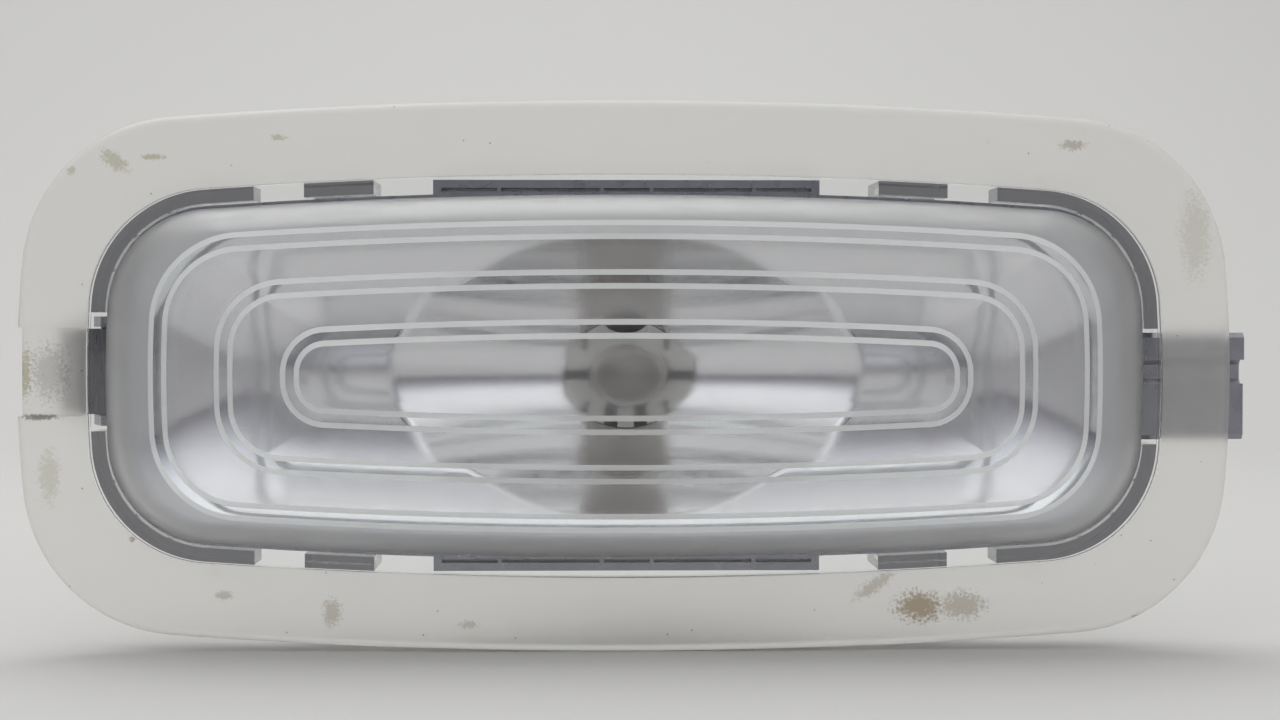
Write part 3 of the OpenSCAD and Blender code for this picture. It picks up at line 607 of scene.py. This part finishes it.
def flange_sections():
    """From the band's outer edge over the flange's rounded front edge to its back."""
    out = [
        (BAND_OUT, BAND_Z, CLEAR),
        (BAND_OUT, FLANGE_T - BAND_CHAMFER, CLEAR),
        (inset(BAND_OUT, -BAND_CHAMFER), FLANGE_T, FROST),
    ]
    for t in turns(EDGE_STEPS, 90, 0):
        z = FLANGE_T - FLANGE_EDGE * (1 - math.sin(t))
        out.append((inset(FLANGE, FLANGE_EDGE * (1 - math.cos(t))), z, FROST))
    return out + [(FLANGE, CHAMFER, CLEAR), (inset(FLANGE, CHAMFER), 0, CLEAR), (BAND_OUT, 0, CLEAR)]


def skirt_sections():
    """Back along the skirt's outside, over its end and forward along its inside."""
    return [
        # The skirt's end takes the dark grey of painted shade
        (BAND_OUT, -HOOK_DEPTH + CHAMFER, SKIRT_END),
        (inset(BAND_OUT, CHAMFER), -HOOK_DEPTH, SKIRT_END),
        (SKIRT_IN, -HOOK_DEPTH, CLEAR),
        (SKIRT_IN, -SHOULDER, CLEAR),
    ]


def hollow_sections():
    """Forward into the dome and up under its rings."""
    out, top = [], RING_Z - DOME_T
    for t in turns(HOLLOW_STEPS, 0, HOLLOW_TURN):
        z = -SHOULDER + (top + SHOULDER) * math.sin(t)
        out.append((inset(mix(BAND_IN, FOOT, 1 - math.cos(t)), DOME_IN), z, CLEAR))
    for i in range(RING_COUNT):
        s, z = inset(ring(i), DOME_IN), top + i * RING_STEP
        out += [
            (inset(s, -LINE_W / 2), z, CLEAR),
            (inset(s, 1.5 * LINE_W + STRIP_W / 2), z + 2 * LINE_RISE, CLEAR),
        ]
    return out


# Cutters reach OVER past a face and LAP into the next cutter; INSIDE lies within the skirt and FAR outside
OVER, LAP, INSIDE_X, INSIDE_Y, FAR = 1, 0.5, 30.0, 12.0, 90.0


def skirt_cuts():
    """Boxes for the skirt's gaps, slots, low ends and windows, as (low, high, finish of the cut)."""
    deep, up = -HOOK_DEPTH - OVER, -SHOULDER
    hook_in, hook_out = HOOK_X - HOOK_W / 2, HOOK_X + HOOK_W / 2
    slot_out = hook_out + HOOK_SLOT
    cuts = []
    for side in (-1, 1):
        y0, y1 = sorted((side * INSIDE_Y, side * FAR))
        cuts.append(((-FLANK_HALF, y0, deep), (FLANK_HALF, y1, up), CLEAR))
        for end in (-1, 1):
            for start, stop in ((FLANK_HALF - LAP, hook_in), (hook_out, slot_out)):
                x0, x1 = sorted((end * start, end * stop))
                cuts.append(((x0, y0, deep), (x1, y1, up), CLEAR))
    for end in (-1, 1):
        x0, x1 = sorted((end * (slot_out - LAP), end * FAR))
        # The skirt's low ends take the dark grey of painted shade
        cuts.append(((x0, -FAR, deep), (x1, FAR, -SKIRT_DEPTH), SKIRT_END))
    return cuts + [
        ((-FAR, CLIP_Y - CLIP_WINDOW, deep), (-INSIDE_X, CLIP_Y + CLIP_WINDOW, up), CLEAR),
        ((INSIDE_X, TONGUE_LOW - WINDOW_GAP, deep), (FAR, TONGUE_TOP + WINDOW_GAP, up), CLEAR),
    ]


def flange_cuts():
    """Boxes for the notch and the marks, as (low, high, finish of the cut)."""
    cuts = [((-FAR, NOTCH_LOW, -OVER), (NOTCH_X, NOTCH_TOP, FLANGE_T + OVER), CLEAR)]
    mark_y = side_y(BAND_OUT, MARK_X) + MARK_GAP
    for x in (-MARK_X, MARK_X):
        for y in (-mark_y, mark_y):
            low = (x - MARK_W / 2, y - MARK_H / 2, -OVER)
            cuts.append((low, (x + MARK_W / 2, y + MARK_H / 2, MARK_DEPTH), CLEAR))
    return cuts


def lens_cutters():
    """Everything that is cut from the lens, with the pocket behind the notch and the step in front of it."""
    cutters = [
        box_object("cut", low, high, LENS_MATERIALS, finish)
        for low, high, finish in skirt_cuts() + flange_cuts()
    ]
    x0, x1 = NOTCH_X - 2 * OVER, NOTCH_X + NOTCH_LEN
    y0, y1, r = NOTCH_LOW, NOTCH_TOP, NOTCH_CORNER
    corners = ((x1 - r, y1 - r, 0), (x0 + r, y1 - r, 90), (x0 + r, y0 + r, 180), (x1 - r, y0 + r, 270))
    pocket = [
        (x + r * math.cos(math.radians(a + t)), y + r * math.sin(math.radians(a + t)))
        for x, y, a in corners
        for t in range(0, 91, 15)
    ]
    cutters.append(upright("cut_pocket", pocket, -OVER, NOTCH_DEPTH, LENS_MATERIALS, CLEAR))
    step_z = FLANGE_T - FRONT_STEP
    cutters.append(upright("cut_front", pocket, step_z, step_z + 2 * OVER, LENS_MATERIALS, FROST))
    return cutters


# What is added to the skirt keeps this far from its ends
END_GAP = 0.05


def lens_additions():
    """The barbs of the snap hooks and the small ribs in the skirt's corners."""
    x, y = HOOK_X - HOOK_W / 2 + BARB_SIDE, side_y(SKIRT_IN, HOOK_X)
    barb = [
        (y + BARB_ROOT, -HOOK_GRIP),
        (y - HOOK_BARB, -HOOK_GRIP),
        (y - HOOK_BARB, -HOOK_GRIP - BARB_LAND),
        (y, -HOOK_DEPTH + END_GAP),
        (y + BARB_ROOT, -HOOK_DEPTH + END_GAP),
    ]
    _, (centre, r, _, _), _ = arcs(SKIRT_IN)
    r0, r1 = r - RIB_PROUD * RIM_GAP, r + RIB_ROOT
    rib = [(r0, -RIB_HALF_W), (r1, -RIB_HALF_W), (r1, RIB_HALF_W), (r0, RIB_HALF_W)]
    low, high = -SKIRT_DEPTH + END_GAP, -SHOULDER - END_GAP
    added = []
    for sx in (-1, 1):
        for sy in (-1, 1):

            def along_hook(u, v, w):
                return (sx * (x + w), sy * u, v)

            added.append(prism("barb", barb, HOOK_W - 2 * BARB_SIDE, along_hook, LENS_MATERIALS, CLEAR))
            for angle in RIB_ANGLES:
                ca, sa = math.cos(math.radians(angle)), math.sin(math.radians(angle))
                at = [(sx * (centre.x + u * ca - v * sa), sy * (centre.y + u * sa + v * ca)) for u, v in rib]
                added.append(upright("rib", at, low, high, LENS_MATERIALS, CLEAR))
    return added


def build_lens():
    """The lens's moulding, in place of the CAD node."""
    sections = dome_sections() + flange_sections() + skirt_sections() + hollow_sections()
    lens = loft("lens_moulding", sections, LENS_MATERIALS, (TERRACE, CLEAR))
    combine(lens, lens_cutters(), "DIFFERENCE")
    combine(lens, lens_additions(), "UNION")
    smooth(lens, 28)
    place(lens, "housing")
    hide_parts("lens")


# Reflector: a thin mirror skin inside the housing, with the bowl and the dished wings that the photo shows

WING_STEPS, BISECTIONS = 24, 40


def reflector_profile(angle):
    """Depths along one direction: the wing's points from the bowl's edge to the rim, and the bowl's curve."""
    squeeze = math.cos(angle) ** 2 + (math.sin(angle) * BOWL_R / BOWL_Y) ** 2

    def wing(t):
        return (
            reach(mix(RIM_IN, TRAY, t), angle) - SKIN_LIFT * (1 - t),
            RIM_Z + (TRAY_DEPTH - SKIN_LIFT) * (1 - (1 - t) ** 2),
        )

    def bowl(r):
        return BOWL_Z - SKIN_LIFT - r * r * squeeze / (4 * BOWL_F)

    floor_r, floor_z = wing(1)
    bowl_r = math.sqrt(4 * BOWL_F * (BOWL_Z - SKIN_LIFT - floor_z) / squeeze)
    if floor_r > bowl_r:
        return [(bowl_r, floor_z)] + [wing(1 - k / WING_STEPS) for k in range(WING_STEPS + 1)], bowl
    # The bowl meets the wing's slope, at a place between the rim (0) and the floor (1)
    low, high = 0.0, 1.0
    for _ in range(BISECTIONS):
        middle = (low + high) / 2
        r, z = wing(middle)
        low, high = (middle, high) if bowl(r) < z else (low, middle)
    return [wing(low * (1 - k / WING_STEPS)) for k in range(WING_STEPS + 1)], bowl


def resample(points, count):
    """count + 1 points evenly spaced along a polyline."""
    line = np.array(points, float)
    length = np.concatenate([[0], np.cumsum(np.linalg.norm(np.diff(line, axis=0), axis=1))])
    at = np.linspace(0, length[-1], count + 1)
    return np.stack([np.interp(at, length, line[:, 0]), np.interp(at, length, line[:, 1])], 1)


AROUND, TUBE_RINGS, BOWL_RINGS, WING_RINGS = 480, 3, 36, 40
SKIN_WELD = 1e-3


def skin_line(angle):
    """Points of the skin along one direction: up the hole, out over the bowl and over the wing to the rim."""
    wing, bowl = reflector_profile(angle)
    hole_z, width = bowl(SKIN_HOLE_R), wing[0][0] - SKIN_HOLE_R
    tube = [
        (SKIN_HOLE_R, SKIN_HOLE_Z + (hole_z - SKIN_HOLE_Z) * i / TUBE_RINGS)
        for i in range(TUBE_RINGS)
    ]
    radii = [SKIN_HOLE_R + width * i / BOWL_RINGS for i in range(BOWL_RINGS)]
    return tube + [(r, bowl(r)) for r in radii] + [tuple(point) for point in resample(wing, WING_RINGS)]


def build_mirror_skin():
    """The skin is swept round the hole from its lines, and gets its thickness from a modifier."""
    verts, faces = [], []
    for k in range(AROUND):
        angle = 2 * math.pi * k / AROUND
        verts += [(r * math.cos(angle), r * math.sin(angle), -z) for r, z in skin_line(angle)]
    n = TUBE_RINGS + BOWL_RINGS + WING_RINGS + 1
    for k in range(AROUND):
        a, b = k * n, ((k + 1) % AROUND) * n
        faces += [(a + i, a + i + 1, b + i + 1, b + i) for i in range(n - 1)]
    skin = clean(new_object("mirror_skin", verts, faces, (MIRROR,)), SKIN_WELD)
    # The skin is open, so its faces may have been turned away from the lens
    if sum(face.normal.z for face in skin.data.polygons) < 0:
        skin.data.flip_normals()
    shell = skin.modifiers.new("shell", "SOLIDIFY")
    shell.thickness, shell.offset = SKIN_T * MM, -1
    smooth(skin, 30)
    place(skin, "housing")


# The holder's front, which reaches forward to the bowl's hole

HOLDER_BACK, HOLDER_FRONT, HOLDER_R, HOLDER_HALF, WELL_R = 17.5, 8.7, 8.7, 8.3, 5.4
SLOT_W, SLIT_W, SLIT_X, SLIT_IN, SLIT_OUT = 1.9, 0.7, 5.25, 4.8, 9.6
THUMB_Y, THUMB_R = 10.9, 3.9
GAP_IN, GAP_OUT, GAP_TOP = 1.05, 2.75, -5
HOLDER_FAR = 12


def holder_cutters():
    """Two flats, the bulb's well, a notch at the top, a slot across, and four slits and two gaps."""
    low, high = -HOLDER_BACK - OVER, -HOLDER_FRONT + OVER

    def box(name, xs, ys):
        (x0, x1), (y0, y1) = sorted(xs), sorted(ys)
        return box_object(name, (x0, y0, low), (x1, y1, high))

    across = (-HOLDER_FAR, HOLDER_FAR)
    cutters = [box("flat", (s * HOLDER_HALF, s * (HOLDER_HALF + HOLDER_FAR)), across) for s in (-1, 1)]
    cutters += [
        round_prism("well", (0, 0), WELL_R, low, high),
        round_prism("thumb_notch", (0, THUMB_Y), THUMB_R, low, high),
        box("slot", across, (-SLOT_W / 2, SLOT_W / 2)),
    ]
    for sx in (-1, 1):
        for sy in (-1, 1):
            slit = (sx * SLIT_X - SLIT_W / 2, sx * SLIT_X + SLIT_W / 2)
            cutters.append(box("slit", slit, (sy * SLIT_IN, sy * SLIT_OUT)))
        cutters.append(box("gap", (sx * GAP_IN, sx * GAP_OUT), (-HOLDER_FAR, GAP_TOP)))
    return cutters


def build_holder_front(finish):
    """The disc with everything cut from it, on the body that twists."""
    front = round_prism("holder_front", (0, 0), HOLDER_R, -HOLDER_BACK, -HOLDER_FRONT)
    front.data.materials.append(finish)
    combine(front, holder_cutters(), "DIFFERENCE")
    smooth(front, 30)
    place(front, "holder")


# The three pieces, and the finishes of the CAD nodes that stay

build_lens()
build_mirror_skin()
HOLDER_WHITE = white_plastic()
build_holder_front(HOLDER_WHITE)
FINISHES = {
    "reflector_housing": DULL_AND_SHADED_OUTSIDE,
    "spring_clip": steel(),
    "bulb_holder": HOLDER_WHITE,
    "contact_left": brass(),
    "contact_right": brass(),
    "bulb_glass": bulb_glass(),
    "bulb_filament": wire("tungsten", (0.30, 0.30, 0.31), (0.42, 0.42, 0.43)),
    "bulb_lead_upper": wire("lead_metal", (0.48, 0.46, 0.43), (0.62, 0.60, 0.57)),
    "bulb_lead_lower": wire("lead_metal_2", (0.48, 0.46, 0.43), (0.62, 0.60, 0.57)),
}
for node, finish in FINISHES.items():
    nodes[node].data.materials.clear()
    nodes[node].data.materials.append(finish)


# Floor, backdrop, light and camera, in metres

FLOOR_AT = -FLANGE[1] / 2 * MM
FLOOR_HALF, FLOOR_FRONT, CURVE_AT, CURVE_R, WALL_TOP = 2.6, -2.6, 0.42, 0.35, 1.7
CURVE_STEPS = 24
PAPER, PAPER_ROUGHNESS = (0.68, 0.675, 0.66), 0.6


def build_stage():
    """A floor that curves up into a backdrop."""
    section = [(FLOOR_FRONT, 0.0), (CURVE_AT, 0.0)]
    for t in turns(CURVE_STEPS, 0, 90)[1:]:
        section.append((CURVE_AT + CURVE_R * math.sin(t), CURVE_R * (1 - math.cos(t))))
    section.append((CURVE_AT + CURVE_R, WALL_TOP))
    n = len(section)
    verts = [(x, y, z + FLOOR_AT) for x in (-FLOOR_HALF, FLOOR_HALF) for y, z in section]
    faces = [(i, i + 1, n + i + 1, n + i) for i in range(n - 1)]
    paper, _, shader = material("studio_paper")
    shader.inputs["Base Color"].default_value = (*PAPER, 1)
    shader.inputs["Roughness"].default_value = PAPER_ROUGHNESS
    stage = new_object("stage", verts, faces, (paper,))
    stage.data.polygons.foreach_set("use_smooth", [True] * len(faces))


# The room's colours by height: 0 is straight down, 0.5 the horizon, 1 straight up
SKY_STRENGTH = 1.2
SKY = (
    (0.30, (0.02, 0.02, 0.025)),
    (0.50, (0.06, 0.06, 0.07)),
    (0.56, (0.30, 0.30, 0.33)),
    (0.61, (0.80, 0.80, 0.84)),
    (0.66, (1.0, 1.0, 1.0)),
    (0.76, (0.95, 0.95, 0.95)),
    (0.86, (0.62, 0.62, 0.62)),
)
# Its dark sides: their colour, and the X of a direction where they start and where they are full
SIDES, SIDES_START, SIDES_FULL = (0.05, 0.05, 0.06), 0.56, 0.74
# The light above and behind the lamp: place, size and strength
SOFTBOX_AT, SOFTBOX_SIZE, SOFTBOX_STRENGTH = (-0.1, 0.24, 0.72), (0.7, 0.5), 2.8


def build_room():
    """The world's light: a sky by height with dark sides."""
    world = bpy.data.worlds.new("studio")
    bpy.context.scene.world = world
    world.use_nodes = True
    tree = world.node_tree
    back = tree.nodes["Background"]
    coord = tree.nodes.new("ShaderNodeTexCoord")
    axes = tree.nodes.new("ShaderNodeSeparateXYZ")
    tree.links.new(coord.outputs["Generated"], axes.inputs["Vector"])
    sky = tree.nodes.new("ShaderNodeValToRGB")
    stops = sky.color_ramp.elements
    stops[0].position, stops[0].color = SKY[0][0], (*SKY[0][1], 1)
    stops[1].position, stops[1].color = SKY[-1][0], (*SKY[-1][1], 1)
    for at, colour in SKY[1:-1]:
        stops.new(at).color = (*colour, 1)
    tree.links.new(remap(tree, axes.outputs["Z"], -1, 1, 0, 1), sky.inputs["Fac"])
    aside = math_node(tree, "ABSOLUTE", axes.outputs["X"])
    room = tree.nodes.new("ShaderNodeMix")
    room.data_type = "RGBA"
    room.inputs["B"].default_value = (*SIDES, 1)
    tree.links.new(remap(tree, aside, SIDES_START, SIDES_FULL, 0.0, 1.0), room.inputs["Factor"])
    tree.links.new(sky.outputs["Color"], room.inputs["A"])
    tree.links.new(room.outputs["Result"], back.inputs["Color"])
    back.inputs["Strength"].default_value = SKY_STRENGTH


def build_softbox():
    """A rectangular light turned towards the lamp."""
    lamp = bpy.data.lights.new("top_softbox", "AREA")
    lamp.shape = "RECTANGLE"
    lamp.size, lamp.size_y = SOFTBOX_SIZE
    lamp.energy = SOFTBOX_STRENGTH * math.pi * SOFTBOX_SIZE[0] * SOFTBOX_SIZE[1]
    obj = bpy.data.objects.new("top_softbox", lamp)
    bpy.context.scene.collection.objects.link(obj)
    obj.location = SOFTBOX_AT
    obj.rotation_euler = (-Vector(SOFTBOX_AT)).to_track_quat("-Z", "Y").to_euler()


# The camera's distance from the lens, and its direction in degrees
CAMERA_DISTANCE, CAMERA_AZIMUTH, CAMERA_ELEVATION = 0.300, -1.0, 1.35
# The photo in pixels: its width, its scale at the lens, and its middle's place right of and above the lens's
PHOTO_W, PIXELS_PER_M, MIDDLE_OFF = 1280, 8110.0, (13, 16)
SENSOR_W, CLIP_NEAR, CLIP_FAR = 36, 0.01, 20


def build_camera():
    """Looks at the lens from a little left and above, with the lens's centre where the photo has it."""
    a, e = math.radians(CAMERA_AZIMUTH), math.radians(CAMERA_ELEVATION)
    at = CAMERA_DISTANCE * Vector((math.sin(a) * math.cos(e), -math.cos(a) * math.cos(e), math.sin(e)))
    at += Vector((0, -FLANGE_T * MM, 0))
    target = Vector((MIDDLE_OFF[0] / PIXELS_PER_M, -FLANGE_T * MM, MIDDLE_OFF[1] / PIXELS_PER_M))
    cam = bpy.data.cameras.new("camera")
    cam.sensor_width = SENSOR_W
    cam.lens = SENSOR_W * CAMERA_DISTANCE * PIXELS_PER_M / PHOTO_W
    cam.clip_start, cam.clip_end = CLIP_NEAR, CLIP_FAR
    obj = bpy.data.objects.new("camera", cam)
    bpy.context.scene.collection.objects.link(obj)
    obj.location = at
    obj.rotation_euler = (target - at).to_track_quat("-Z", "Y").to_euler()
    bpy.context.scene.camera = obj


build_stage()
build_room()
build_softbox()
build_camera()

scene = bpy.context.scene
scene.view_settings.view_transform = "Standard"
scene.cycles.max_bounces = 16
scene.cycles.transmission_bounces = 12
scene.cycles.glossy_bounces = 8
scene.cycles.diffuse_bounces = 4
scene.cycles.sample_clamp_indirect = 6
